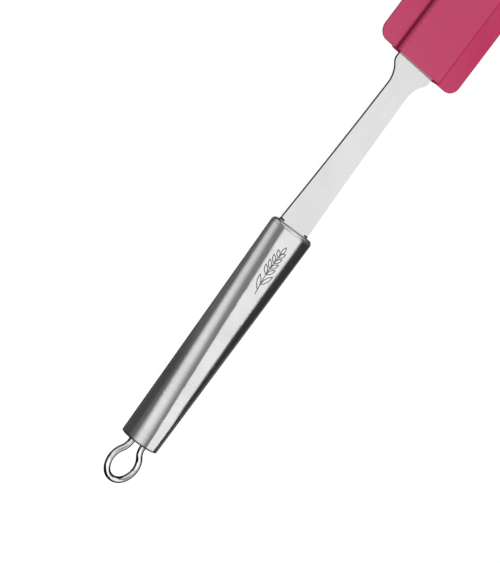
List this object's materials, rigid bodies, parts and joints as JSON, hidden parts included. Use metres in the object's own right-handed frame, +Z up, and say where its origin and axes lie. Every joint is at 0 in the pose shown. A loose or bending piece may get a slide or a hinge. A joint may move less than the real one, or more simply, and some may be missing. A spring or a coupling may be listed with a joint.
{
  "type": "silicone spatula",
  "caption": "Straight kitchen spatula: silicone head with a thick centre panel and thin wings, tapered steel neck, hollow steel handle pressed flat at the front, and a wire hanging loop.",
  "frame": {"origin": "middle of the whole tool's bounding box, at the bottom, on the plane that the underside of the head's panel and the rear rim of the handle touch", "axes": "+X from the handle to the tip of the head, +Y to the left, +Z up out of the face with the raised panel"},
  "size_m": [0.3384, 0.0544, 0.0199],
  "materials": {
    "handle_steel": "satin, brushed along the handle",
    "cap_steel": "satin pressed sheet",
    "loop_wire": "bright polished wire",
    "blade_steel": "fine polish with faint lengthways grain",
    "weld_steel": "dull weld bead",
    "silicone": "satin moulded silicone, raspberry red"
  },
  "bodies": {
    "tool": {"handle_tube": "handle_steel", "front_cap": "handle_steel", "rear_cap": "cap_steel", "loop_bracket": "cap_steel", "blade_core": "blade_steel", "neck_weld_left": "weld_steel", "neck_weld_right": "weld_steel", "silicone_head": "silicone"},
    "loop": {"hanging_loop": "loop_wire"}
  },
  "joints": [
    {"name": "loop_swing", "type": "hinge", "parent": "tool", "child": "loop", "pos_m": [-0.14147, 0, 0.00984], "axis": [0, 1, 0], "range_deg": [-15, 15]}
  ]
}
